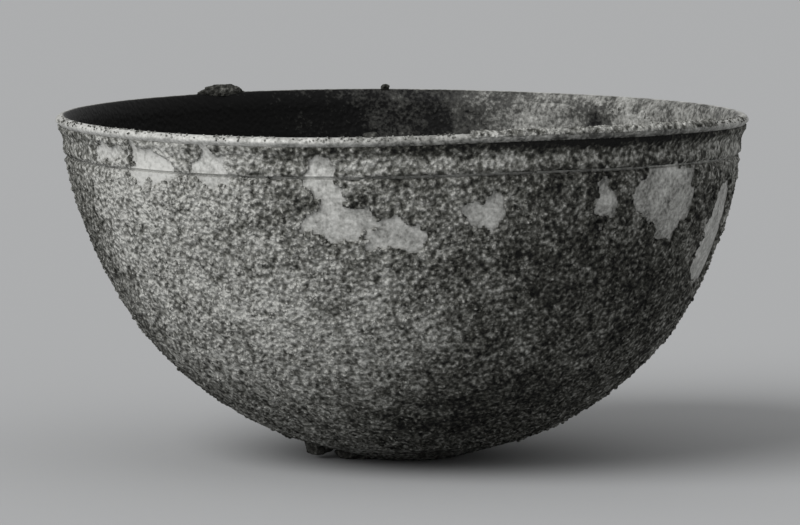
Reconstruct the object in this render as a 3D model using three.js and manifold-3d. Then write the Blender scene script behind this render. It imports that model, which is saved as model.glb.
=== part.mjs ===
// A round-bottomed copper-alloy bowl, as it came out of the ground.
// The bowl itself is one sheet of metal, raised to a hemisphere, with a flared lip and one line
// engraved round it below the lip. What the ground left on it are separate solids: sheets of
// corrosion crust, flaked off in patches, and lumps of hardened soil on the base and the lip.
// Millimetres, +Z up. The bowl rests on z = 0, and the origin lies under the middle of the mouth.

import * as THREE from 'three';
import { mergeVertices } from 'three/addons/utils/BufferGeometryUtils.js';
import Module from 'manifold-3d';

const wasm = await Module();
wasm.setup();

// The raised metal
const bodyRadius = 96.8; // outside of the hemisphere
const wall = 1.6; // thickness of the sheet
const baseFlatRadius = 13; // the flattened middle of the underside
const sideFlattening = 0.9; // how far the side lies inside a true circle
const sideFlatteningAngle = 67; // where it does so, in degrees from straight down
const sideFlatteningSpread = 12; // and over how many degrees each way

// The neck, the engraved line and the lip, upwards along the outside
const neckHeight = 9.6; // from the engraved line to the lip's outer edge
const neckStandOut = 0.1; // how far the neck stands out past the hemisphere
const lineWidth = 1.1;
const lineDepth = 0.55;
const lipOverhang = 3.1; // how far the lip stands out past the neck
const lipFlareHeight = 5; // height of the hollow under the lip
const lipEdgeThickness = 0.5;
const lipRise = 1.7; // from the lip's outer edge to its top
const lipTopInset = 1.8; // the top's outer side lies this far inside the edge
const lipTopWidth = 1.1;

// The crust, and the lumps on it
const seatGap = 0.3; // clearance between a piece and what it lies on
const crustThickness = 0.8;
const baseCrustThickness = 1.5; // under the flattened base
const baseCrustFootRadius = 14; // the flat on which the bowl rests
const baseCrustRadius = 33;
const lipCrustThickness = 0.6;
const insideCrustThickness = 0.5;
const insideCrustDepth = 34; // how far below the lip it reaches
const edgeThickness = 0.4; // of a crust at its upper and lower edges
const windowRaggedness = 0.17;
const lumpKnobbliness = 0.09;

// How far the old bowl is out of true
const lean = 2.1; // the base lies this far to one side (+X) of the mouth
const leanPower = 1.6;
const waveDepth = 45; // the lip's waves die out this far below its top
const rimWaves = [
  // azimuth and spread in degrees, lift of the lip in millimetres
  { azimuth: -68, spread: 24, lift: 1.4 },
  { azimuth: -34, spread: 22, lift: 0.9 },
  { azimuth: -125, spread: 24, lift: -0.3 },
  { azimuth: 105, spread: 40, lift: 0.9 },
];

// Where the crust has flaked off: the azimuth, and the depth below the lip's outer edge
const flakedWindows = [
  { azimuth: -149, belowLip: 5.5, width: 14, height: 4, turn: 3 },
  { azimuth: -137, belowLip: 8, width: 18, height: 10.5, turn: -8 },
  { azimuth: -123, belowLip: 7.8, width: 11, height: 10.5, turn: 6 },
  { azimuth: -103, belowLip: 10.3, width: 8.4, height: 12.8, turn: 0 },
  { azimuth: -101, belowLip: 22, width: 21, height: 9.7, turn: -4 },
  { azimuth: -91.5, belowLip: 25.6, width: 17, height: 8.2, turn: -8 },
  { azimuth: -76, belowLip: 20, width: 10, height: 8.5, turn: 10 },
  { azimuth: -53.5, belowLip: 18.3, width: 6.4, height: 12.8, turn: 4 },
  { azimuth: -38.5, belowLip: 18.7, width: 26.5, height: 19, turn: -10 },
  { azimuth: -15, belowLip: 32, width: 24, height: 32, turn: 12 },
  { azimuth: 58, belowLip: 24, width: 30, height: 16, turn: 8 },
  { azimuth: 121, belowLip: 34, width: 20, height: 26, turn: -12 },
];

// What is left of the thin crust on the inner wall
const insidePatch = { azimuth: 55, belowLip: 15, width: 84, height: 33, turn: 0 };

// Where the granular crust on the lip starts and ends
const lipCrustFrom = -79;
const lipCrustTo = -28;

// Lumps under the base: out is measured from the axis, foot is the height of the lowest point
const baseLumps = [
  { name: 'base_lump_large', azimuth: -159, out: 16.5, length: 12, breadth: 11, foot: 0 },
  { name: 'base_lump_small', azimuth: -167, out: 26.8, length: 9, breadth: 8, foot: 1.1 },
];

// Lumps on the lip: out is measured from the neck's outside, up from the lip's top
const lipLumps = [
  { name: 'lip_lump_back', azimuth: 124, out: 0.9, up: 0.7, length: 17, breadth: 2.6, thickness: 3 },
  { name: 'lip_grain_back', azimuth: 93, out: 0.9, up: 0.5, length: 2.6, breadth: 2, thickness: 1.9 },
  { name: 'lip_lump_front', azimuth: -95, out: 1, up: 0.4, length: 4.2, breadth: 2.2, thickness: 2 },
];

// How finely the curves are cut
const aroundSteps = 64;
const bodySteps = 12;
const baseSteps = 4;
const flareSteps = 4;
const windowSteps = 20;
const wedgeSteps = 6;
const lumpDetail = 2;
const weldDistance = 1e-4;
const heightSearchSteps = 40;

const radians = THREE.MathUtils.degToRad;
const degrees = THREE.MathUtils.radToDeg;
const point = (r, z) => new THREE.Vector2(r, z);

// Heights and radii that follow from the sizes above
const baseZ = baseCrustThickness + seatGap;
const bodyCentreZ = baseZ + Math.sqrt(bodyRadius ** 2 - baseFlatRadius ** 2);
const lipEdgeZ = bodyCentreZ;
const lipTopZ = lipEdgeZ + lipRise;
const lineZ = lipEdgeZ - neckHeight;
const lineTopZ = lineZ + lineWidth / 2;
const lineFootZ = lineZ - lineWidth / 2;
const neckRadius = bodyRadius + neckStandOut;
const lipRadius = neckRadius + lipOverhang;

// The hemisphere's outline, at an angle from straight down and moved outwards by an offset.
function bodyPoint(angle, offset) {
  const off = (degrees(angle) - sideFlatteningAngle) / sideFlatteningSpread;
  const reach = bodyRadius + offset - sideFlattening * Math.exp(-off * off);
  return point(reach * Math.sin(angle), bodyCentreZ - reach * Math.cos(angle));
}

// The angle at which that outline passes a height.
function angleAtHeight(z, offset) {
  let low = 0;
  let high = Math.PI / 2;
  for (let i = 0; i < heightSearchSteps; i++) {
    const middle = (low + high) / 2;
    if (bodyPoint(middle, offset).y < z) low = middle;
    else high = middle;
  }
  return low;
}

// The angle at which the hemisphere is so far from the axis, low on the bowl.
const angleAtRadius = (radius) => Math.asin(radius / bodyRadius);

const flatAngle = angleAtRadius(baseFlatRadius);

// The outline between two angles.
function bodyArc(fromAngle, toAngle, offset, steps) {
  const arc = [];
  for (let i = 0; i <= steps; i++) {
    arc.push(bodyPoint(fromAngle + ((toAngle - fromAngle) * i) / steps, offset));
  }
  return arc;
}

// The neck and the lip's underside, from just above the engraved line up to the lip's edge.
function neckOutline() {
  const flare = new THREE.QuadraticBezierCurve(
    point(neckRadius, lipEdgeZ - lipFlareHeight),
    point(neckRadius + lipOverhang * 0.2, lipEdgeZ - lipFlareHeight * 0.4),
    point(lipRadius, lipEdgeZ),
  );
  return [point(neckRadius, lineTopZ), ...flare.getPoints(flareSteps)];
}

// The lip's top, from its outer edge over the bevel and down inside the neck.
function lipOutline() {
  const innerRadius = neckRadius - wall;
  const topRadius = lipRadius - lipTopInset;
  const bevel = new THREE.QuadraticBezierCurve(
    point(lipRadius, lipEdgeZ + lipEdgeThickness),
    point(lipRadius - lipTopInset * 0.2, lipTopZ - lipRise * 0.08),
    point(topRadius, lipTopZ),
  );
  const inside = new THREE.QuadraticBezierCurve(
    point(topRadius - lipTopWidth, lipTopZ - lipRise * 0.1),
    point(innerRadius, lipEdgeZ - lipFlareHeight * 0.15),
    point(innerRadius, lipEdgeZ - lipFlareHeight),
  );
  return [...bevel.getPoints(flareSteps), ...inside.getPoints(flareSteps)];
}

// A polyline moved sideways by a distance, outwards where it runs up the outside.
function offsetOutline(outline, distance) {
  return outline.map((here, i) => {
    const before = outline[Math.max(i - 1, 0)];
    const after = outline[Math.min(i + 1, outline.length - 1)];
    const into = here.clone().sub(before).normalize();
    const away = after.clone().sub(here).normalize();
    const along = into.add(away).normalize();
    return point(here.x + along.y * distance, here.y - along.x * distance);
  });
}

// The section of a crust that lies on an outline, thinner at both ends.
function crustSection(outline, thickness) {
  const under = offsetOutline(outline, seatGap);
  const over = offsetOutline(outline, seatGap + thickness);
  const edge = offsetOutline(outline, seatGap + edgeThickness);
  over[0] = edge[0];
  over[over.length - 1] = edge[edge.length - 1];
  return [...over, ...under.reverse(), over[0]];
}

// A closed solid from one of the geometry classes.
function solidOf(geometry) {
  const bare = geometry.index ? geometry.toNonIndexed() : geometry.clone();
  bare.deleteAttribute('normal');
  bare.deleteAttribute('uv');
  const merged = mergeVertices(bare, weldDistance);
  const corners = merged.index.array;
  const triangles = [];
  for (let i = 0; i < corners.length; i += 3) {
    const [a, b, c] = corners.subarray(i, i + 3);
    if (a !== b && b !== c && c !== a) triangles.push(a, b, c);
  }
  const vertProperties = merged.attributes.position.array;
  const triVerts = new Uint32Array(triangles);
  return new wasm.Manifold(new wasm.Mesh({ numProp: 3, vertProperties, triVerts }));
}

// A section in radius and height, turned once round the bowl's axis.
function turned(section) {
  const lathe = new THREE.LatheGeometry(section, aroundSteps);
  lathe.rotateX(Math.PI / 2);
  return solidOf(lathe);
}

// A wedge of the space round the axis, between two azimuths in degrees.
function wedge(fromAzimuth, toAzimuth) {
  const reach = lipRadius * 1.5;
  const corners = [point(0, 0)];
  for (let i = 0; i <= wedgeSteps; i++) {
    const azimuth = radians(fromAzimuth + ((toAzimuth - fromAzimuth) * i) / wedgeSteps);
    corners.push(point(reach * Math.cos(azimuth), reach * Math.sin(azimuth)));
  }
  const depth = lipTopZ * 1.5;
  return solidOf(new THREE.ExtrudeGeometry(new THREE.Shape(corners), { depth, bevelEnabled: false }));
}

// A ragged plug that stands through the wall: its width runs round the bowl.
function raggedPlug({ azimuth, belowLip, width, height, turn }) {
  const outline = [];
  for (let i = 0; i < windowSteps; i++) {
    const t = (2 * Math.PI * i) / windowSteps;
    const ripple = 0.6 * Math.cos(3 * t + azimuth) + 0.4 * Math.sin(5 * t - azimuth);
    const swell = 1 + windowRaggedness * ripple;
    outline.push(point((swell * height * Math.cos(t)) / 2, (swell * width * Math.sin(t)) / 2));
  }
  const depth = bodyRadius * 0.6;
  const plug = new THREE.ExtrudeGeometry(new THREE.Shape(outline), { depth, bevelEnabled: false });
  plug.translate(0, 0, -depth / 2);
  plug.rotateZ(radians(turn));
  const angle = angleAtHeight(lipEdgeZ - belowLip, 0);
  const place = bodyPoint(angle, 0);
  plug.rotateY(Math.PI - angle);
  plug.translate(place.x, 0, place.y);
  plug.rotateZ(radians(azimuth));
  return solidOf(plug);
}

// A knobbly lump at a distance from the axis, with its length running round the bowl.
function knob({ azimuth, radius, z, length, breadth, thickness }) {
  const ball = new THREE.IcosahedronGeometry(0.5, lumpDetail);
  const size = new THREE.Vector3(breadth, length, thickness);
  const at = ball.attributes.position;
  const p = new THREE.Vector3();
  for (let i = 0; i < at.count; i++) {
    p.fromBufferAttribute(at, i);
    const bump = Math.sin(7 * p.x + azimuth) * Math.sin(8 * p.y - azimuth) + Math.sin(9 * p.z);
    p.multiplyScalar(1 + lumpKnobbliness * bump).multiply(size);
    at.setXYZ(i, p.x, p.y, p.z);
  }
  ball.translate(radius, 0, z);
  ball.rotateZ(radians(azimuth));
  return solidOf(ball);
}

// The section of the bowl; grown by a clearance, it cuts the seat of what lies on it.
function bowlSection(grow) {
  const lineRadius = bodyPoint(angleAtHeight(lineZ, 0), 0).x - lineDepth;
  const line = [point(lineRadius, lineZ - lineWidth * 0.15), point(lineRadius, lineZ + lineWidth * 0.15)];
  const outside = bodyArc(flatAngle, angleAtHeight(lineFootZ, 0), grow, bodySteps);
  const inside = bodyArc(flatAngle, angleAtHeight(lineFootZ, -wall), -wall, bodySteps).reverse();
  return [
    point(0, baseZ - grow),
    point(outside[0].x, baseZ - grow),
    ...outside.slice(1),
    ...(grow ? [] : line),
    ...offsetOutline(neckOutline(), grow),
    ...offsetOutline(lipOutline(), grow),
    ...inside.slice(0, -1),
    point(inside[inside.length - 1].x, baseZ + wall),
    point(0, baseZ + wall),
  ];
}

const bowlSolid = turned(bowlSection(0));
const bowlSeat = turned(bowlSection(seatGap));

// The underside as a filled body, grown by the clearance.
function filledUnderside() {
  const outside = bodyArc(flatAngle, angleAtHeight(lineFootZ, 0), seatGap, bodySteps);
  const flat = point(outside[0].x, baseZ - seatGap);
  return turned([point(0, flat.y), flat, ...outside.slice(1), point(0, lineFootZ)]);
}

const underside = filledUnderside();

// Crust on the side, from below the engraved line down to the crust on the base.
function sideCrust() {
  const foot = angleAtRadius(baseCrustRadius + seatGap);
  const top = angleAtHeight(lineFootZ, 0);
  return turned(crustSection(bodyArc(foot, top, 0, bodySteps), crustThickness));
}

// Crust on the neck, from above the engraved line into the hollow under the lip.
const neckCrust = () => turned(crustSection(neckOutline().slice(0, -1), crustThickness));

// Granular crust along one stretch of the lip, from the middle of its bevel over its top.
function lipCrust() {
  const outline = lipOutline().slice(flareSteps / 2, flareSteps + 2);
  const ring = turned(crustSection(outline, lipCrustThickness));
  return ring.intersect(wedge(lipCrustFrom, lipCrustTo));
}

// A patch of thin crust on the inner wall, from under the lip's top downwards.
function insideCrust() {
  const foot = angleAtHeight(lipEdgeZ - insideCrustDepth, -wall);
  const top = angleAtHeight(lineZ, -wall);
  const wallInside = bodyArc(foot, top, -wall, bodySteps).reverse();
  const neckInside = lipOutline().slice(flareSteps + 3);
  const ring = turned(crustSection([...neckInside, ...wallInside], insideCrustThickness));
  return ring.intersect(raggedPlug(insidePatch));
}

// The thick crust under the base, worn flat where the bowl stands.
function baseCrust() {
  const rim = angleAtRadius(baseCrustRadius);
  const seat = bodyArc(flatAngle, rim, seatGap, baseSteps);
  seat[0].y = baseZ - seatGap;
  return turned([
    point(0, 0),
    point(baseCrustFootRadius, 0),
    bodyPoint(rim, seatGap + crustThickness),
    ...seat.reverse(),
    point(0, baseZ - seatGap),
  ]);
}

// A lump that hangs on the metal under the base, before it is cut to its seat.
function baseLump({ azimuth, out, length, breadth, foot }, grow) {
  const seatZ = bodyPoint(angleAtRadius(out), 0).y;
  const depth = seatZ - foot + grow;
  const lump = knob({
    azimuth,
    radius: out,
    z: seatZ,
    length: length + 2 * grow,
    breadth: breadth + 2 * grow,
    thickness: 2.4 * depth,
  });
  return lump.trimByPlane([0, 0, 1], foot - grow);
}

// A lump on the lip, cut to its seat.
function lipLump({ azimuth, out, up, length, breadth, thickness }) {
  const place = { azimuth, radius: neckRadius + out, z: lipTopZ + up };
  return knob({ ...place, length, breadth, thickness }).subtract(bowlSeat);
}

// How far the lip stands above or below its true height at an azimuth.
function rimLift(azimuth) {
  return rimWaves.reduce((sum, wave) => {
    const off = THREE.MathUtils.euclideanModulo(azimuth - wave.azimuth + 180, 360) - 180;
    return sum + wave.lift * Math.exp(-((off / wave.spread) ** 2));
  }, 0);
}

// Moves a point of the true bowl to where it lies on the old one.
function outOfTrue(p) {
  const height = THREE.MathUtils.clamp(p.z / lineZ, 0, 1);
  const share = THREE.MathUtils.smoothstep(p.z, lipTopZ - waveDepth, lipTopZ);
  p.z += share * rimLift(degrees(Math.atan2(p.y, p.x)));
  p.x += lean * (1 - height ** leanPower);
  return p;
}

const metal = new THREE.MeshStandardMaterial({ color: 0x8c8b84, roughness: 0.55, metalness: 0.6 });
const crust = new THREE.MeshStandardMaterial({ color: 0x6c6d6a, roughness: 0.95, metalness: 0 });
const soil = new THREE.MeshStandardMaterial({ color: 0x55544f, roughness: 1, metalness: 0 });

// One named piece of the object, its solid brought out of true.
function piece(name, solid, material) {
  const { vertProperties, triVerts } = solid.getMesh();
  const p = new THREE.Vector3();
  for (let i = 0; i < vertProperties.length; i += 3) {
    outOfTrue(p.fromArray(vertProperties, i)).toArray(vertProperties, i);
  }
  const geometry = new THREE.BufferGeometry();
  geometry.setAttribute('position', new THREE.BufferAttribute(vertProperties, 3));
  geometry.setIndex(new THREE.BufferAttribute(triVerts, 1));
  geometry.computeVertexNormals();
  const mesh = new THREE.Mesh(geometry, material);
  mesh.name = name;
  return mesh;
}

const windows = flakedWindows.map(raggedPlug);

// A crust with its windows cut out; a scrap that they cut free has come away with them.
function flaked(sheet) {
  const left = windows.reduce((rest, hole) => rest.subtract(hole), sheet);
  return left.decompose().reduce((a, b) => (a.volume() > b.volume() ? a : b));
}

const clearOfLump = (left, lump) => left.subtract(baseLump(lump, seatGap));

const bowl = new THREE.Group();
bowl.add(piece('bowl_shell', bowlSolid, metal));
bowl.add(piece('crust_side', flaked(sideCrust()), crust));
bowl.add(piece('crust_neck', flaked(neckCrust()), crust));
bowl.add(piece('crust_lip', lipCrust(), crust));
bowl.add(piece('crust_inside', insideCrust(), crust));
bowl.add(piece('crust_base', baseLumps.reduce(clearOfLump, baseCrust()), crust));
for (const lump of baseLumps) {
  bowl.add(piece(lump.name, baseLump(lump, 0).subtract(underside), soil));
}
for (const lump of lipLumps) bowl.add(piece(lump.name, lipLump(lump), soil));

export default bowl;
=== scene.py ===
import math

import bmesh
import bpy
import numpy as np
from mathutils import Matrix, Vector, noise


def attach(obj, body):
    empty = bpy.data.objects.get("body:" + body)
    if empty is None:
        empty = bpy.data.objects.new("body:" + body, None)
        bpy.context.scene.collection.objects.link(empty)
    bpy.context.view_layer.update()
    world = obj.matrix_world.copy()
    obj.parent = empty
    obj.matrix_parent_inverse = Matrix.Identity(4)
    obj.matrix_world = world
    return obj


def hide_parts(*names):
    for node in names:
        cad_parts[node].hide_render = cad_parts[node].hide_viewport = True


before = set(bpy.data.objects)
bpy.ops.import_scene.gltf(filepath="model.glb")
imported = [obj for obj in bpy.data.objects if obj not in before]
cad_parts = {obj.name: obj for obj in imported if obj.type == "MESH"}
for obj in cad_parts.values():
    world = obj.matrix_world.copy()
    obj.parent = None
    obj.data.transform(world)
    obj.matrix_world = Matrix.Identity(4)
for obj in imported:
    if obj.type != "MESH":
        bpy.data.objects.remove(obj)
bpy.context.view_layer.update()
mm = 0.001

# The bowl's own sizes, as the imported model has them. The bends are shares of the lip's sizes.
metal = dict(
    radius=96.8, wall=1.6, baseFlat=13, flattening=0.9, flatteningAt=67, flatteningSpread=12,
    neckHeight=9.6, neckStandOut=0.1, lineWidth=1.1, lineDepth=0.55, lineFloor=0.15,
    lipOverhang=3.1, flareHeight=5, flareBendOut=0.2, flareBendDown=0.4,
    edgeThickness=0.5, lipRise=1.7, lipTopInset=1.8, lipTopWidth=1.1,
    bevelBendIn=0.2, bevelBendDown=0.08, innerStartDown=0.1, innerBendDown=0.15,
)
# What all the crusts share
crust = dict(
    gap=0.12, thickness=0.85, thinnest=0.18, taper=1.3, endStart=0.25, raggedness=0.17,
    raggedPitch=4.5, raggedReach=4.2, raggedOctaves=4, clear=9.0,
    mottlePitch=14, mottleOctaves=3, mottle=0.25, baseThickness=1.5, baseRadius=33, seat=0.3,
)
outOfTrueness = dict(
    lean=2.1, leanPower=1.6, waveDepth=45,
    waves=[(-68, 24, 1.4), (-34, 22, 0.9), (-125, 24, -0.3), (105, 40, 0.9)],
)
# azimuth, depth below the lip's edge, width, height, turn
flakedWindows = [
    (-149, 5.5, 14, 4, 3), (-137, 8, 18, 10.5, -8), (-123, 7.8, 11, 10.5, 6),
    (-103, 10.3, 8.4, 12.8, 0), (-101, 22, 21, 9.7, -4), (-91.5, 25.6, 17, 8.2, -8),
    (-76, 20, 10, 8.5, 10), (-53.5, 18.3, 6.4, 12.8, 4), (-38.5, 18.7, 26.5, 19, -10),
    (-15, 32, 24, 32, 12), (58, 24, 30, 16, 8), (121, 34, 20, 26, -12),
]
# Paler and darker stretches of the outside, own tone and painted light and shade together: azimuth, height,
# half-widths across and up, tone
# The dark band at height 97, just under the lip's edge, is the lip's painted shadow, and the pale band at
# 91.5, above the engraved line, a painted highlight
# The darker far-left edge, where the wall turns away, and the darker stretch low on the front, where it faces
# down, are painted shade, partly darker crust
# The paler left side and the darker right side are partly painted key light and painted shade, partly the
# crust's own tone
toneAndShadeStretches = [
    (-140, 84, 62, 30, 0.34), (-166, 60, 16, 45, -0.18), (-120, 42, 60, 24, 0.3),
    (-42, 60, 50, 50, -0.2), (-78, 18, 42, 11, -0.30), (-58, 97, 66, 2.0, -0.6),
    (-66, 91.5, 60, 2.2, 0.22), (-8, 72, 14, 30, 0.14), (-24, 92, 22, 10, 0.22),
    (-100, 60, 34, 22, 0.02), (90, 60, 90, 40, -0.06),
]
# The same for the inner wall. The broad dark stretch at azimuth 150 is painted shade with a dark stain, the
# one at -120 painted shade, and the pale one at 45 painted light where the key falls
insideToneAndShadeStretches = [
    (150, 75, 110, 60, -0.8), (-120, 60, 130, 70, -0.45), (45, 80, 50, 30, 0.15),
    (100, 85, 26, 40, -0.06), (84, 90, 7, 8, -0.25), (52, 90, 6, 5, -0.35), (70, 90, 12, 6, 0.05),
]

baseZ = crust["baseThickness"] + crust["seat"]
centreZ = baseZ + math.sqrt(metal["radius"] ** 2 - metal["baseFlat"] ** 2)
lipEdgeZ = centreZ
lipTopZ = lipEdgeZ + metal["lipRise"]
lineZ = lipEdgeZ - metal["neckHeight"]
neckRadius = metal["radius"] + metal["neckStandOut"]
lipRadius = neckRadius + metal["lipOverhang"]


# Outlines: points of radius and height

# The hemisphere's outside at angles, in degrees from straight down
def bodyLine(angles, offset=0.0):
    off = (angles - metal["flatteningAt"]) / metal["flatteningSpread"]
    reach = metal["radius"] + offset - metal["flattening"] * np.exp(-off * off)
    turn = np.radians(angles)
    return np.stack([reach * np.sin(turn), centreZ - reach * np.cos(turn)], 1)


def angleAtHeight(z, offset=0.0):
    angles = np.linspace(0, 92, 9201)
    return float(np.interp(z, bodyLine(angles, offset)[:, 1], angles))


def angleAtRadius(radius):
    return math.degrees(math.asin(radius / metal["radius"]))


def bezier(start, bend, end, steps):
    t = np.linspace(0, 1, steps + 1)[:, None]
    return (1 - t) ** 2 * np.array(start) + 2 * t * (1 - t) * np.array(bend) + t * t * np.array(end)


# From above the engraved line over the hollow to the lip's edge
def neckLine(steps):
    overhang, flare = metal["lipOverhang"], metal["flareHeight"]
    foot = np.array([[neckRadius, lineZ + metal["lineWidth"] / 2]])
    start = (neckRadius, lipEdgeZ - flare)
    bend = (neckRadius + overhang * metal["flareBendOut"], lipEdgeZ - flare * metal["flareBendDown"])
    return np.vstack([foot, bezier(start, bend, (lipRadius, lipEdgeZ), steps)])


def bevelLine(steps):
    inset, rise = metal["lipTopInset"], metal["lipRise"]
    start = (lipRadius, lipEdgeZ + metal["edgeThickness"])
    bend = (lipRadius - inset * metal["bevelBendIn"], lipTopZ - rise * metal["bevelBendDown"])
    return bezier(start, bend, (lipRadius - inset, lipTopZ), steps)


def innerLipLine(steps):
    inner, rise, flare = neckRadius - metal["wall"], metal["lipRise"], metal["flareHeight"]
    start = (lipRadius - metal["lipTopInset"] - metal["lipTopWidth"],
             lipTopZ - rise * metal["innerStartDown"])
    bend = (inner, lipEdgeZ - flare * metal["innerBendDown"])
    return bezier(start, bend, (inner, lipEdgeZ - flare), steps)


# The length along a line up to each of its points
def runAlong(line):
    return np.concatenate([[0], np.cumsum(np.linalg.norm(np.diff(line, axis=0), axis=1))])


def resampled(line, spacing):
    run = runAlong(line)
    at = np.linspace(0, run[-1], max(2, round(run[-1] / spacing) + 1))
    return np.stack([np.interp(at, run, line[:, 0]), np.interp(at, run, line[:, 1])], 1)


def lineNormals(line):
    along = np.gradient(line, axis=0)
    along /= np.linalg.norm(along, axis=1)[:, None]
    return np.stack([along[:, 1], -along[:, 0]], 1)


# From outline to place

def smoothStep(x, low, high):
    t = np.clip((x - low) / (high - low), 0, 1)
    return t * t * (3 - 2 * t)


# The shorter way round from one azimuth to others, in degrees
def turnFrom(start, azimuth):
    return (azimuth - start + 180) % 360 - 180


# Moves points of the true bowl, in mm, to where they lie on the old one, in metres
def outOfTrue(points):
    moved = points.astype(float).copy()
    azimuth = np.degrees(np.arctan2(points[:, 1], points[:, 0]))
    lift = np.zeros(len(points))
    for at, spread, height in outOfTrueness["waves"]:
        lift += height * np.exp(-((turnFrom(at, azimuth) / spread) ** 2))
    moved[:, 2] += lift * smoothStep(points[:, 2], lipTopZ - outOfTrueness["waveDepth"], lipTopZ)
    height = np.clip(points[:, 2] / lineZ, 0, 1)
    moved[:, 0] += outOfTrueness["lean"] * (1 - height ** outOfTrueness["leanPower"])
    return moved * mm


# A grid of points: one row for each point of the line
def turnedPoints(line, azimuths):
    turn = np.radians(azimuths)
    x = line[:, 0][:, None] * np.cos(turn)
    y = line[:, 0][:, None] * np.sin(turn)
    z = np.repeat(line[:, 1][:, None], len(azimuths), 1)
    return np.stack([x, y, z], 2)


def azimuthsRound(count):
    return np.arange(count) * 360 / count


def azimuthsBetween(start, end, spacing):
    count = round(math.radians(end - start) * metal["radius"] / spacing) + 1
    return np.linspace(start, end, count)


# Smooth noise, about -0.5 to 0.5, at points in mm
def speckle(points, pitch, octaves, roughness=0.6, lacunarity=2.0):
    flat = points.reshape(-1, 3) / pitch
    values = [noise.fractal(Vector(p), roughness, lacunarity, octaves) for p in flat]
    return np.array(values).reshape(points.shape[:-1]) / 2


# Ripples of a plug's edge: size, how many round it, where they start, and which way they shift
plugRipples = [(0.6, 3, math.pi / 2, 1), (0.4, 5, 0, -1)]


# How far outside a ragged plug each point lies, along the surface, in mm
def plugDistance(points, plug):
    azimuth, belowLip, width, height, turn = plug
    middle = bodyLine(np.array([angleAtHeight(lipEdgeZ - belowLip)]))[0]
    off = turnFrom(azimuth, np.degrees(np.arctan2(points[..., 1], points[..., 0])))
    across = np.radians(off) * np.hypot(points[..., 0], points[..., 1])
    steep = np.arctan2(lipEdgeZ - middle[1], middle[0])
    down = (middle[1] - points[..., 2]) / np.cos(steep)
    cos, sin = math.cos(math.radians(turn)), math.sin(math.radians(turn))
    u, v = (down * cos + across * sin) / (height / 2), (across * cos - down * sin) / (width / 2)
    t = np.arctan2(v, u)
    ripple = sum(size * np.sin(count * t + start + side * azimuth) for size, count, start, side in plugRipples)
    return (np.hypot(u, v) - 1 - crust["raggedness"] * ripple) * min(width, height) / 2


def toneAt(points, stretches):
    azimuth = np.degrees(np.arctan2(points[..., 1], points[..., 0]))
    tone = np.full(points.shape[:-1], 0.5)
    for at, height, across, up, change in stretches:
        off = np.radians(turnFrom(at, azimuth)) * metal["radius"]
        tone += change * np.exp(-((off / across) ** 2) - ((points[..., 2] - height) / up) ** 2)
    return tone


def mottledTone(points, stretches):
    mottle = speckle(points, crust["mottlePitch"], crust["mottleOctaves"]) * crust["mottle"]
    return toneAt(points, stretches) + mottle


# Meshes

def meshPiece(name, points, faces, **attributes):
    mesh = bpy.data.meshes.new(name)
    mesh.from_pydata(outOfTrue(points).tolist(), [], faces)
    for key, values in attributes.items():
        layer = mesh.attributes.new(key, "FLOAT", "POINT")
        layer.data.foreach_set("value", np.ascontiguousarray(values, dtype=np.float32))
    piece = bpy.data.objects.new(name, mesh)
    bpy.context.collection.objects.link(piece)
    return piece


def tidyMesh(mesh, sharpFrom=60):
    work = bmesh.new()
    work.from_mesh(mesh)
    loose = [vertex for vertex in work.verts if not vertex.link_faces]
    bmesh.ops.delete(work, geom=loose, context="VERTS")
    bmesh.ops.recalc_face_normals(work, faces=work.faces)
    work.to_mesh(mesh)
    work.free()
    mesh.shade_smooth()
    mesh.set_sharp_from_angle(angle=math.radians(sharpFrom))


# A closed sheet between two grids of points, with only the kept faces
def closedSheet(name, under, over, keep, wrap, tone):
    rows, columns = under.shape[:2]
    index = np.arange(rows * columns).reshape(rows, columns)
    if wrap:
        index = np.hstack([index, index[:, :1]])
    a, b = index[:-1, :-1], index[:-1, 1:]
    c, d = index[1:, 1:], index[1:, :-1]
    top = rows * columns
    faces = [np.stack([a, b, c, d], 2)[keep] + top, np.stack([d, c, b, a], 2)[keep]]
    padded = np.pad(keep, 1)
    if wrap:
        padded[1:-1, 0], padded[1:-1, -1] = keep[:, -1], keep[:, 0]
    sides = [(a, b, padded[:-2, 1:-1]), (b, c, padded[1:-1, 2:]),
             (c, d, padded[2:, 1:-1]), (d, a, padded[1:-1, :-2])]
    for start, end, beyond in sides:
        edge = keep & ~beyond
        s, e = start[edge], end[edge]
        faces.append(np.stack([s, e, e + top, s + top], 1))
    points = np.concatenate([under.reshape(-1, 3), over.reshape(-1, 3)])
    onTop = np.concatenate([np.zeros(top), np.ones(top)])
    tones = np.concatenate([tone.ravel(), tone.ravel()])
    return meshPiece(name, points, np.concatenate(faces).tolist(), crust=onTop, tone=tones)


# Materials

# What all the corroded surfaces share: detail of the textures, and how much each one tells
corrosion = dict(
    grainDetail=4, grainRoughness=0.7, mottleDetail=5, mottleRoughness=0.65, mottle=0.9,
    crestAbove=0.42, fineRelief=0.5, specular=0.2,
)
# In each look, creviceShade is how strongly light is painted onto the grains' crests and shade into their
# crevices
dulledAlloyLook = dict(
    stops=[(0.0, "#080808"), (0.35, "#4A4A47"), (0.6, "#90908C"), (1.0, "#D2D2CE")],
    roughness=0.55, metallic=0.15, grainPitch=1.2, mottlePitch=7, contrast=1.1, creviceShade=0.25,
    bump=0.2,
)
grownCrustLook = dict(
    stops=[(0.05, "#161615"), (0.35, "#44443F"), (0.6, "#7C7C77"), (1.0, "#CFCFCA")],
    roughness=0.92, metallic=0.0, grainPitch=1.25, mottlePitch=6, contrast=1.5, creviceShade=0.9,
    bump=1.9,
)
hardSoilLook = dict(
    stops=[(0.1, "#151514"), (0.5, "#4A4A46"), (1.0, "#9A9A94")],
    roughness=0.95, metallic=0.0, grainPitch=1.1, mottlePitch=4, contrast=1.2, creviceShade=0.5,
    bump=1.2,
)


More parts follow.
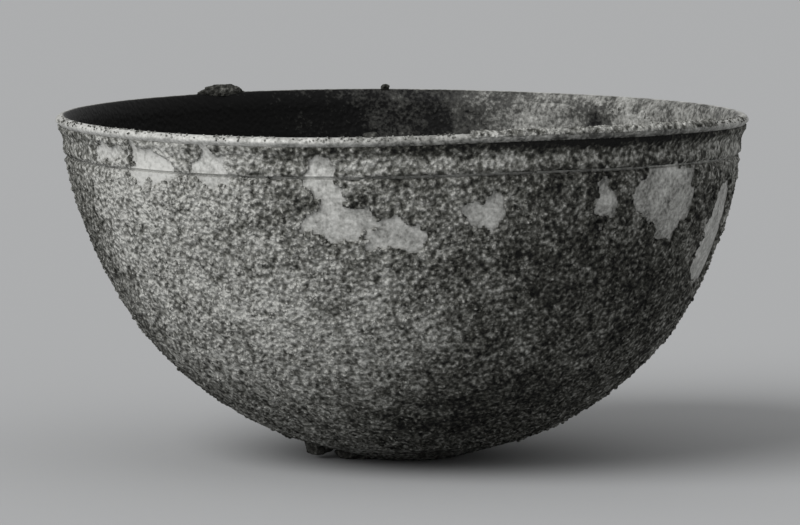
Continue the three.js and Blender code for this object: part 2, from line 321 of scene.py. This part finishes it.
# An sRGB hex colour as linear red, green, blue and alpha
def linearColour(text):
    channels = [int(text[i:i + 2], 16) / 255 for i in (1, 3, 5)]
    return [c / 12.92 if c <= 0.04045 else ((c + 0.055) / 1.055) ** 2.4 for c in channels] + [1]


# A node with its settings, and its inputs set to values or linked to sockets
def addNode(tree, kind, links=None, **settings):
    node = tree.nodes.new(kind)
    for key, value in settings.items():
        setattr(node, key, value)
    for key, value in (links or {}).items():
        if isinstance(value, bpy.types.NodeSocket):
            tree.links.new(value, node.inputs[key])
        else:
            node.inputs[key].default_value = value
    return node


# A tone attribute, mottled broadly and grain by grain, with painted light on the grains' crests and painted
# shade in their crevices, runs from dark to pale
def corroded(name, look):
    material = bpy.data.materials.new(name)
    material.use_nodes = True
    tree = material.node_tree
    shader = tree.nodes["Principled BSDF"]
    place = addNode(tree, "ShaderNodeTexCoord").outputs["Object"]
    tone = addNode(tree, "ShaderNodeAttribute", attribute_name="tone").outputs["Fac"]
    grainScale = 1 / (look["grainPitch"] * mm)
    fine = addNode(tree, "ShaderNodeTexNoise", {
        "Vector": place, "Scale": grainScale, "Detail": corrosion["grainDetail"],
        "Roughness": corrosion["grainRoughness"]}).outputs["Fac"]
    broad = addNode(tree, "ShaderNodeTexNoise", {
        "Vector": place, "Scale": 1 / (look["mottlePitch"] * mm), "Detail": corrosion["mottleDetail"],
        "Roughness": corrosion["mottleRoughness"]}).outputs["Fac"]
    cells = addNode(tree, "ShaderNodeTexVoronoi", {
        "Vector": place, "Scale": grainScale}, feature="SMOOTH_F1").outputs["Distance"]

    # Noise less its middle, times how much it tells
    grainTone = addNode(tree, "ShaderNodeMath", {
        0: fine, 1: look["contrast"], 2: -look["contrast"] / 2}, operation="MULTIPLY_ADD").outputs[0]
    broadTone = addNode(tree, "ShaderNodeMath", {
        0: broad, 1: corrosion["mottle"], 2: -corrosion["mottle"] / 2}, operation="MULTIPLY_ADD").outputs[0]
    withGrain = addNode(tree, "ShaderNodeMath", {0: tone, 1: grainTone}, operation="ADD").outputs[0]
    mottled = addNode(tree, "ShaderNodeMath", {0: withGrain, 1: broadTone}, operation="ADD").outputs[0]

    # Painted light and shade: crests of the grains are painted paler, as if lit, and the crevices between them
    # darker, as painted shade
    crest = addNode(tree, "ShaderNodeMath", {
        0: corrosion["crestAbove"], 1: cells}, operation="SUBTRACT").outputs[0]
    toneAndPaintedShade = addNode(tree, "ShaderNodeMath", {
        0: crest, 1: look["creviceShade"], 2: mottled}, operation="MULTIPLY_ADD").outputs[0]
    colours = addNode(tree, "ShaderNodeValToRGB", {"Fac": toneAndPaintedShade})
    elements = colours.color_ramp.elements
    while len(elements) < len(look["stops"]):
        elements.new(0.5)
    for element, (position, colour) in zip(elements, look["stops"]):
        element.position = position
        element.color = linearColour(colour)

    height = addNode(tree, "ShaderNodeMath", {
        0: fine, 1: corrosion["fineRelief"], 2: crest}, operation="MULTIPLY_ADD").outputs[0]
    relief = addNode(tree, "ShaderNodeBump", {
        "Height": height, "Strength": 1.0, "Distance": look["bump"] * mm})
    tree.links.new(colours.outputs["Color"], shader.inputs["Base Color"])
    tree.links.new(relief.outputs["Normal"], shader.inputs["Normal"])
    shader.inputs["Roughness"].default_value = look["roughness"]
    shader.inputs["Metallic"].default_value = look["metallic"]
    shader.inputs["Specular IOR Level"].default_value = corrosion["specular"]
    return material


# Copper alloy raised by hammering, then dulled by centuries: smooth, pale, softly mottled
dulledAlloy = corroded("dulledCopperAlloy", dulledAlloyLook)
# Mineral corrosion grown on the metal: matt and granular, with painted shade in the pits between the grains
# and painted light on their crests
grownCrust = corroded("grownCorrosionCrust", grownCrustLook)
# Soil hardened by corrosion: the roughest and darkest
hardSoil = corroded("hardenedSoil", hardSoilLook)
print("materials made")


# Geometry Nodes

def newGeometryTree(name, inputs):
    tree = bpy.data.node_groups.new(name, "GeometryNodeTree")
    tree.interface.new_socket("Geometry", in_out="INPUT", socket_type="NodeSocketGeometry")
    for label, kind in inputs:
        tree.interface.new_socket(label, in_out="INPUT", socket_type=f"NodeSocket{kind}")
    tree.interface.new_socket("Geometry", in_out="OUTPUT", socket_type="NodeSocketGeometry")
    return tree, addNode(tree, "NodeGroupInput").outputs


def endTree(tree, geometry, material):
    real = addNode(tree, "GeometryNodeRealizeInstances", {"Geometry": geometry})
    finish = addNode(tree, "GeometryNodeSetMaterial", {
        "Geometry": real.outputs["Geometry"], "Material": material})
    addNode(tree, "NodeGroupOutput", {"Geometry": finish.outputs["Geometry"]})
    return tree


# The distance in a cell that neither lifts nor lowers, and the detail and middle of the swells
reliefShape = dict(grainMiddle=0.45, swellDetail=3.0, swellMiddle=0.5)
# Where clusters of grains start and are full, which points are on top, and how flat a grain lies
grainShape = dict(clusterFrom=0.35, clusterFull=0.7, clusterDetail=2.0, onTop=0.95, flatness=0.75)


# Grains and broad swells that lift the top of a crust along its normal
def reliefTree():
    tree, given = newGeometryTree("crustRelief", [
        ("grainPitch", "Float"), ("grainHeight", "Float"),
        ("swellPitch", "Float"), ("swellHeight", "Float"), ("material", "Material")])
    place = addNode(tree, "GeometryNodeInputPosition").outputs[0]
    normal = addNode(tree, "GeometryNodeInputNormal").outputs[0]
    onTop = addNode(tree, "GeometryNodeInputNamedAttribute", {
        "Name": "crust"}, data_type="FLOAT").outputs[0]
    grainScale = addNode(tree, "ShaderNodeMath", {
        0: 1.0, 1: given["grainPitch"]}, operation="DIVIDE").outputs[0]
    swellScale = addNode(tree, "ShaderNodeMath", {
        0: 1.0, 1: given["swellPitch"]}, operation="DIVIDE").outputs[0]
    cells = addNode(tree, "ShaderNodeTexVoronoi", {
        "Vector": place, "Scale": grainScale}, feature="SMOOTH_F1").outputs["Distance"]
    grain = addNode(tree, "ShaderNodeMath", {
        0: reliefShape["grainMiddle"], 1: cells}, operation="SUBTRACT").outputs[0]
    swell = addNode(tree, "ShaderNodeTexNoise", {
        "Vector": place, "Scale": swellScale, "Detail": reliefShape["swellDetail"]}).outputs[0]
    swellOff = addNode(tree, "ShaderNodeMath", {
        0: swell, 1: reliefShape["swellMiddle"]}, operation="SUBTRACT").outputs[0]
    grainLift = addNode(tree, "ShaderNodeMath", {
        0: grain, 1: given["grainHeight"]}, operation="MULTIPLY").outputs[0]
    lift = addNode(tree, "ShaderNodeMath", {
        0: swellOff, 1: given["swellHeight"], 2: grainLift}, operation="MULTIPLY_ADD").outputs[0]
    shown = addNode(tree, "ShaderNodeMath", {0: lift, 1: onTop}, operation="MULTIPLY").outputs[0]
    offset = addNode(tree, "ShaderNodeVectorMath", {
        0: normal, "Scale": shown}, operation="SCALE").outputs[0]
    moved = addNode(tree, "GeometryNodeSetPosition", {"Geometry": given["Geometry"], "Offset": offset})
    return endTree(tree, moved.outputs["Geometry"], given["material"])


# Loose grains scattered over the top of a crust, thicker on the ground in clusters
def grainTree():
    tree, given = newGeometryTree("crustGrains", [
        ("density", "Float"), ("smallest", "Float"), ("largest", "Float"),
        ("clusterPitch", "Float"), ("seed", "Int"), ("material", "Material")])
    place = addNode(tree, "GeometryNodeInputPosition").outputs[0]
    onTop = addNode(tree, "GeometryNodeInputNamedAttribute", {
        "Name": "crust"}, data_type="FLOAT").outputs[0]
    scale = addNode(tree, "ShaderNodeMath", {
        0: 1.0, 1: given["clusterPitch"]}, operation="DIVIDE").outputs[0]
    cluster = addNode(tree, "ShaderNodeTexNoise", {
        "Vector": place, "Scale": scale, "Detail": grainShape["clusterDetail"]}).outputs[0]
    share = addNode(tree, "ShaderNodeMapRange", {
        "Value": cluster, "From Min": grainShape["clusterFrom"],
        "From Max": grainShape["clusterFull"]}).outputs[0]
    often = addNode(tree, "ShaderNodeMath", {0: share, 1: given["density"]}, operation="MULTIPLY").outputs[0]
    top = addNode(tree, "FunctionNodeCompare", {
        0: onTop, 1: grainShape["onTop"]}, operation="GREATER_THAN", data_type="FLOAT").outputs[0]
    spots = addNode(tree, "GeometryNodeDistributePointsOnFaces", {
        "Mesh": given["Geometry"], "Selection": top, "Density": often, "Seed": given["seed"]})
    ball = addNode(tree, "GeometryNodeMeshIcoSphere", {"Radius": 1.0, "Subdivisions": 1})

    # The node has a Min and a Max for each kind of value, and only those in use are enabled
    size = addNode(tree, "FunctionNodeRandomValue", {"Seed": given["seed"]}, data_type="FLOAT")
    for socket in size.inputs:
        if socket.enabled and socket.name in ("Min", "Max"):
            tree.links.new(given["smallest" if socket.name == "Min" else "largest"], socket)
    sized = next(socket for socket in size.outputs if socket.enabled)
    low = addNode(tree, "ShaderNodeMath", {
        0: sized, 1: grainShape["flatness"]}, operation="MULTIPLY").outputs[0]
    flat = addNode(tree, "ShaderNodeCombineXYZ", {"X": sized, "Y": sized, "Z": low}).outputs[0]
    spread = addNode(tree, "GeometryNodeInstanceOnPoints", {
        "Points": spots.outputs["Points"], "Instance": ball.outputs["Mesh"],
        "Rotation": spots.outputs["Rotation"], "Scale": flat})
    return endTree(tree, spread.outputs["Instances"], given["material"])


# Runs a node tree on a piece and keeps the result as a plain mesh
def baked(piece, tree, name=None, **values):
    modifier = piece.modifiers.new("rule", "NODES")
    modifier.node_group = tree
    sockets = {s.name: s.identifier for s in tree.interface.items_tree if s.in_out == "INPUT"}
    for key, value in values.items():
        modifier[sockets[key]] = value
    evaluated = piece.evaluated_get(bpy.context.evaluated_depsgraph_get())
    mesh = bpy.data.meshes.new_from_object(evaluated)
    piece.modifiers.remove(modifier)
    if name is None:
        piece.data = mesh
        return piece
    mesh.name = name
    made = bpy.data.objects.new(name, mesh)
    bpy.context.collection.objects.link(made)
    return made


def inMetres(sizes):
    return {key: value * mm for key, value in sizes.items()}


relief = reliefTree()
grains = grainTree()
print("node trees made")


def placed(piece, slot, *nodes):
    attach(piece, "root")
    if nodes:
        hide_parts(*nodes)
    print("made", piece.name, len(piece.data.polygons))
    return piece


# The bowl of metal

metalMesh = dict(
    around=360, outside=95, inside=80, flare=8, bevel=8, innerLip=10, sharpFrom=50,
    insideShade=0.05, outsideShare=0.5, outsidePaler=0.5,
)


# The section from the outside's pole to the inside's, and how many points come before the inside
def metalSection():
    wall, grow = metal["wall"], metal["lineWidth"]
    flat = angleAtRadius(metal["baseFlat"])
    grooveZ = lineZ - grow / 2
    lineRadius = bodyLine(np.array([angleAtHeight(lineZ)]))[0, 0] - metal["lineDepth"]
    floor = grow * metal["lineFloor"]
    line = np.array([[lineRadius, lineZ - floor], [lineRadius, lineZ + floor]])
    outside = bodyLine(np.linspace(flat, angleAtHeight(grooveZ), metalMesh["outside"]))
    outside[0, 1] = baseZ
    inside = bodyLine(np.linspace(flat, angleAtHeight(grooveZ, -wall), metalMesh["inside"]), -wall)[::-1]
    inside[-1, 1] = baseZ + wall
    outer = np.vstack([outside, line, neckLine(metalMesh["flare"]), bevelLine(metalMesh["bevel"])])
    inner = np.vstack([innerLipLine(metalMesh["innerLip"]), inside])
    return np.vstack([[[0, baseZ]], outer, inner, [[0, baseZ + wall]]]), len(outer)


def makeMetal():
    section, outerCount = metalSection()
    grid = turnedPoints(section[1:-1], azimuthsRound(metalMesh["around"]))
    rows, columns = grid.shape[:2]
    index = np.arange(rows * columns).reshape(rows, columns)
    index = np.hstack([index, index[:, :1]])
    corners = [index[:-1, :-1], index[:-1, 1:], index[1:, 1:], index[1:, :-1]]
    faces = np.stack(corners, 2).reshape(-1, 4).tolist()
    low, high = rows * columns, rows * columns + 1
    for i in range(columns):
        faces.append((low, int(index[0, i + 1]), int(index[0, i])))
    for i in range(columns):
        faces.append((high, int(index[-1, i]), int(index[-1, i + 1])))
    poles = np.array([[0, 0, section[0, 1]], [0, 0, section[-1, 1]]])
    points = np.concatenate([grid.reshape(-1, 3), poles])
    isInside = np.zeros(len(points), bool)
    isInside[outerCount * columns:low] = True
    isInside[high] = True
    # The outside takes the stretches' own tone with their painted light and shade; the whole inside is made a
    # little darker as painted shade in the bowl's hollow
    outsideTone = toneAt(points, toneAndShadeStretches) * metalMesh["outsideShare"] + metalMesh["outsidePaler"]
    insideTone = toneAt(points, insideToneAndShadeStretches) - metalMesh["insideShade"]
    piece = meshPiece("bowlMetal", points, faces, tone=np.where(isInside, insideTone, outsideTone))
    tidyMesh(piece.data, metalMesh["sharpFrom"])
    piece.data.materials.append(dulledAlloy)
    return placed(piece, "metal", "bowl_shell")


makeMetal()


# Crust on an outline, flaked off inside the plugs, or left only inside one
def crustSheet(name, line, azimuths, plugs, sizes, wrap=False, inside=None, tones=toneAndShadeStretches,
               thickness=crust["thickness"], material=grownCrust):
    normals = lineNormals(line)
    under = turnedPoints(line + normals * crust["gap"], azimuths)
    ragged = speckle(under, crust["raggedPitch"], crust["raggedOctaves"]) * crust["raggedReach"]
    room = np.full(under.shape[:2], crust["clear"])
    for plug in plugs:
        room = np.minimum(room, plugDistance(under, plug) + ragged)
    if inside:
        room = np.minimum(room, -plugDistance(under, inside) + ragged)

    # Thin at the edges, and full where there is room
    run = runAlong(line)
    fromEnd = np.minimum(run, run[-1] - run)[:, None] + crust["endStart"]
    full = smoothStep(np.minimum(room, fromEnd), 0, crust["taper"])
    deep = thickness * (crust["thinnest"] + (1 - crust["thinnest"]) * full)
    over = under + turnedPoints(normals, azimuths) * deep[..., None]
    corners = room > 0
    if wrap:
        corners = np.hstack([corners, corners[:, :1]])
    keep = corners[:-1, :-1] & corners[:-1, 1:] & corners[1:, 1:] & corners[1:, :-1]
    piece = closedSheet(name, under, over, keep, wrap, mottledTone(under, tones))
    baked(piece, relief, material=material, **inMetres(sizes))
    tidyMesh(piece.data)
    return piece


# The density is in grains per square metre, at the thickest
def looseGrains(name, carrier, density, sizes, seed):
    loose = baked(carrier, grains, name, density=density, seed=seed, material=grownCrust,
                  **inMetres(sizes))
    loose.data.shade_smooth()
    return placed(loose, "crust")


# Crust on the side, in three sectors, with a loose-grain piece for each
sideCrust = dict(
    sectors=[
        dict(side="Front", start=-150, end=-30, spacing=0.68, density=7.5e5, seed=11),
        dict(side="Right", start=-30, end=90, spacing=0.85, density=3e5, seed=12),
        dict(side="Left", start=90, end=210, spacing=0.85, density=3e5, seed=13),
    ],
    outlineSteps=200, intoGroove=0.35,
    relief=dict(grainPitch=1.6, grainHeight=1.1, swellPitch=7, swellHeight=0.9),
    grains=dict(smallest=0.22, largest=0.8, clusterPitch=9),
)
footAngle = angleAtRadius(crust["baseRadius"] + crust["seat"])
topAngle = angleAtHeight(lineZ - metal["lineWidth"] * sideCrust["intoGroove"])
sideLine = bodyLine(np.linspace(footAngle, topAngle, sideCrust["outlineSteps"]))
for sector in sideCrust["sectors"]:
    sideAzimuths = azimuthsBetween(sector["start"], sector["end"], sector["spacing"])
    sheet = crustSheet("crustSide" + sector["side"], resampled(sideLine, sector["spacing"]), sideAzimuths,
                       flakedWindows, sideCrust["relief"])
    placed(sheet, "crust", "crust_side")
    looseGrains("crustGrains" + sector["side"], sheet, sector["density"], sideCrust["grains"], sector["seed"])


neckCrust = dict(
    around=1100, spacing=0.5, outlineSteps=24, shortOfLip=5, intoGroove=0.35,
    relief=dict(grainPitch=1.0, grainHeight=0.5, swellPitch=5, swellHeight=0.35),
)


def makeNeckCrust():
    line = neckLine(neckCrust["outlineSteps"])[:-neckCrust["shortOfLip"]]
    line = resampled(line, neckCrust["spacing"])
    line[0, 1] = lineZ + metal["lineWidth"] * neckCrust["intoGroove"]
    sheet = crustSheet("crustNeck", line, azimuthsRound(neckCrust["around"]), flakedWindows,
                       neckCrust["relief"], wrap=True)
    return placed(sheet, "crust", "crust_neck")


makeNeckCrust()


lipCrust = dict(
    start=-79, end=-28, lineSpacing=0.33, spacing=0.35, thickness=0.6, density=9e5, seed=29,
    outlineSteps=12, bevelFrom=1, innerTo=2,
    # The tone is paler along the lip's top, where light from above falls: painted light
    tones=[(-60, lipTopZ, 60, 6, 0.22)],
    relief=dict(grainPitch=1.0, grainHeight=0.9, swellPitch=3, swellHeight=0.5),
    grains=dict(smallest=0.2, largest=0.5, clusterPitch=4),
)


def makeLipCrust():
    steps = lipCrust["outlineSteps"]
    line = np.vstack([bevelLine(steps)[lipCrust["bevelFrom"]:], innerLipLine(steps)[:lipCrust["innerTo"]]])
    azimuths = azimuthsBetween(lipCrust["start"], lipCrust["end"], lipCrust["spacing"])
    sheet = crustSheet("crustLip", resampled(line, lipCrust["lineSpacing"]), azimuths, [],
                       lipCrust["relief"], tones=lipCrust["tones"], thickness=lipCrust["thickness"])
    placed(sheet, "crust", "crust_lip")
    looseGrains("crustLipGrains", sheet, lipCrust["density"], lipCrust["grains"], lipCrust["seed"])


makeLipCrust()


# Grains along the front of the lip, outside the stretch with a crust of its own
lipGrains = dict(
    start=-172, end=-8, lineSpacing=0.4, spacing=0.5, thickness=0.1, density=1.6e6, seed=41,
    # The tone is paler along the lip's top, where light from above falls: painted light
    outlineSteps=12, tones=[(-110, lipTopZ, 90, 6, 0.25)],
    relief=dict(grainPitch=1, grainHeight=0, swellPitch=1, swellHeight=0),
    grains=dict(smallest=0.14, largest=0.38, clusterPitch=5),
)


def makeLipGrains():
    line = resampled(bevelLine(lipGrains["outlineSteps"]), lipGrains["lineSpacing"])
    azimuths = azimuthsBetween(lipGrains["start"], lipGrains["end"], lipGrains["spacing"])
    carrier = crustSheet("lipGrainCarrier", line, azimuths, [], lipGrains["relief"],
                         tones=lipGrains["tones"], thickness=lipGrains["thickness"])
    looseGrains("lipGrains", carrier, lipGrains["density"], lipGrains["grains"], lipGrains["seed"])
    bpy.data.objects.remove(carrier)


makeLipGrains()


insideCrust = dict(
    depth=34, start=20, end=90, spacing=0.6, thickness=0.5, wallSteps=60, lipSteps=12, lipFrom=6,
    patch=(55, 15, 84, 33, 0),
    relief=dict(grainPitch=2.4, grainHeight=0.25, swellPitch=6, swellHeight=0.3),
)


def makeInsideCrust():
    wall = metal["wall"]
    foot = angleAtHeight(lipEdgeZ - insideCrust["depth"], -wall)
    line = bodyLine(np.linspace(foot, angleAtHeight(lineZ, -wall), insideCrust["wallSteps"]), -wall)[::-1]
    line = np.vstack([innerLipLine(insideCrust["lipSteps"])[insideCrust["lipFrom"]:], line])
    azimuths = azimuthsBetween(insideCrust["start"], insideCrust["end"], insideCrust["spacing"])
    sheet = crustSheet("crustInside", resampled(line, insideCrust["spacing"]), azimuths, [],
                       insideCrust["relief"], inside=insideCrust["patch"], tones=insideToneAndShadeStretches,
                       thickness=insideCrust["thickness"], material=dulledAlloy)
    return placed(sheet, "crust", "crust_inside")


makeInsideCrust()


baseCrust = dict(
    around=320, firstRing=0.4, spacing=0.6, curveSteps=60, footRadius=14, footZ=0.25,
    relief=dict(grainPitch=1.2, grainHeight=0.5, swellPitch=6, swellHeight=0.3),
)


# A disc from the flat foot out to where the side's crust starts
def makeBaseCrust():
    rim = angleAtRadius(crust["baseRadius"])
    radii = np.arange(baseCrust["firstRing"], crust["baseRadius"], baseCrust["spacing"])
    curve = bodyLine(np.linspace(angleAtRadius(metal["baseFlat"]), rim, baseCrust["curveSteps"]))
    top = np.interp(radii, curve[:, 0], curve[:, 1], left=baseZ) - crust["gap"]
    edge = bodyLine(np.array([rim]), crust["gap"] + crust["thickness"])[0]
    foot = np.interp(radii, [baseCrust["footRadius"], edge[0]], [baseCrust["footZ"], edge[1]])
    azimuths = azimuthsRound(baseCrust["around"])
    under = turnedPoints(np.stack([radii, top], 1), azimuths)
    over = turnedPoints(np.stack([radii, foot], 1), azimuths)
    keep = np.ones((len(radii) - 1, len(azimuths)), bool)
    piece = closedSheet("crustBase", under, over, keep, True, mottledTone(over, toneAndShadeStretches))
    tidyMesh(piece.data)
    baked(piece, relief, material=grownCrust, **inMetres(baseCrust["relief"]))

    # Worn flat where it stands
    places = np.zeros(len(piece.data.vertices) * 3)
    piece.data.vertices.foreach_get("co", places)
    places[2::3] = np.maximum(places[2::3], 0)
    piece.data.vertices.foreach_set("co", places)
    tidyMesh(piece.data)
    return placed(piece, "crust", "crust_base")


makeBaseCrust()


# Lumps of soil, each on the place of its node: length round the bowl, breadth outwards
lumpShape = dict(subdivisions=5, knobScale=3.2, knobs=0.22, roughness=0.8, lacunarity=2.1, octaves=4)
lumps = [
    dict(name="baseLumpLarge", node="base_lump_large", azimuth=-159, radius=16.5, z=2.2,
         length=12, breadth=11, thickness=6.5, lowest=0, tone=0.45),
    dict(name="baseLumpSmall", node="base_lump_small", azimuth=-167, radius=26.8, z=4.6,
         length=9, breadth=8, thickness=8.5, lowest=1.1, tone=0.45),
    dict(name="lipLumpBack", node="lip_lump_back", azimuth=124, radius=neckRadius + 0.9,
         z=lipTopZ + 0.3, length=14.5, breadth=3.2, thickness=4.2, lowest=0, tone=0.5),
    dict(name="lipGrainBack", node="lip_grain_back", azimuth=93, radius=neckRadius + 0.9,
         z=lipTopZ + 0.5, length=2.6, breadth=2, thickness=1.9, lowest=0, tone=0.3),
    dict(name="lipLumpFront", node="lip_lump_front", azimuth=-95, radius=neckRadius + 1,
         z=lipTopZ + 0.4, length=4.2, breadth=2.2, thickness=2, lowest=0, tone=0.4),
]


def makeLump(lump):
    work = bmesh.new()
    bmesh.ops.create_icosphere(work, subdivisions=lumpShape["subdivisions"], radius=0.5)
    turn = math.radians(lump["azimuth"])
    for vertex in work.verts:
        p = vertex.co
        knob = noise.fractal(p * lumpShape["knobScale"] + Vector((lump["azimuth"], 0, 0)),
                             lumpShape["roughness"], lumpShape["lacunarity"], lumpShape["octaves"])
        p *= 1 + lumpShape["knobs"] * knob
        x, y = lump["radius"] + p.x * lump["breadth"], p.y * lump["length"]
        z = max(lump["z"] + p.z * lump["thickness"], lump["lowest"])
        vertex.co = (x * math.cos(turn) - y * math.sin(turn), x * math.sin(turn) + y * math.cos(turn), z)
    points = np.array([vertex.co[:] for vertex in work.verts])
    faces = [[vertex.index for vertex in face.verts] for face in work.faces]
    work.free()
    piece = meshPiece(lump["name"], points, faces, tone=np.full(len(points), lump["tone"]))
    tidyMesh(piece.data)
    piece.data.materials.append(hardSoil)
    return placed(piece, "soil", lump["node"])


for lump in lumps:
    makeLump(lump)


# Floor, light and camera

studio = dict(
    floorSize=14, floorColour="#B4B5B6", worldColour="#FFFFFF", worldStrength=0.5,
    sunEnergy=2.15, sunAngle=46, sunFrom=(-0.62, -0.55, 0.62),
)
# The photograph's view: a long lens, a little above the lip
view = dict(
    elevation=5.33, distance=1.8, frameWidth=800, sensor=36, pixelsPerMm=3.452,
    target=(-0.6, 0, 56.2),
)


def makeFloor():
    bpy.ops.mesh.primitive_plane_add(size=studio["floorSize"])
    floor = bpy.context.object
    floor.name = "floor"
    paper = bpy.data.materials.new("paleStudioPaper")
    paper.use_nodes = True
    shader = paper.node_tree.nodes["Principled BSDF"]
    shader.inputs["Base Color"].default_value = linearColour(studio["floorColour"])
    shader.inputs["Roughness"].default_value = 1
    shader.inputs["Specular IOR Level"].default_value = 0
    floor.data.materials.append(paper)


def makeLight():
    world = bpy.data.worlds.new("studio")
    world.use_nodes = True
    background = world.node_tree.nodes["Background"]
    background.inputs["Color"].default_value = linearColour(studio["worldColour"])
    background.inputs["Strength"].default_value = studio["worldStrength"]
    bpy.context.scene.world = world
    key = bpy.data.lights.new("key", "SUN")
    key.energy = studio["sunEnergy"]
    key.angle = math.radians(studio["sunAngle"])
    lamp = bpy.data.objects.new("key", key)
    bpy.context.collection.objects.link(lamp)
    lamp.rotation_euler = Vector(studio["sunFrom"]).to_track_quat("Z", "Y").to_euler()
    bpy.context.scene.view_settings.view_transform = "Standard"


def makeCamera():
    elevation, distance = math.radians(view["elevation"]), view["distance"]
    camera = bpy.data.cameras.new("photographView")
    camera.sensor_width = view["sensor"]
    camera.lens = view["pixelsPerMm"] * distance / mm * view["sensor"] / view["frameWidth"]
    target = Vector([value * mm for value in view["target"]])
    viewer = bpy.data.objects.new("photographView", camera)
    bpy.context.collection.objects.link(viewer)
    viewer.location = target + distance * Vector((0, -math.cos(elevation), math.sin(elevation)))
    viewer.rotation_euler = (target - viewer.location).to_track_quat("-Z", "Y").to_euler()
    bpy.context.scene.camera = viewer


makeFloor()
makeLight()
makeCamera()
print("stage and camera set")
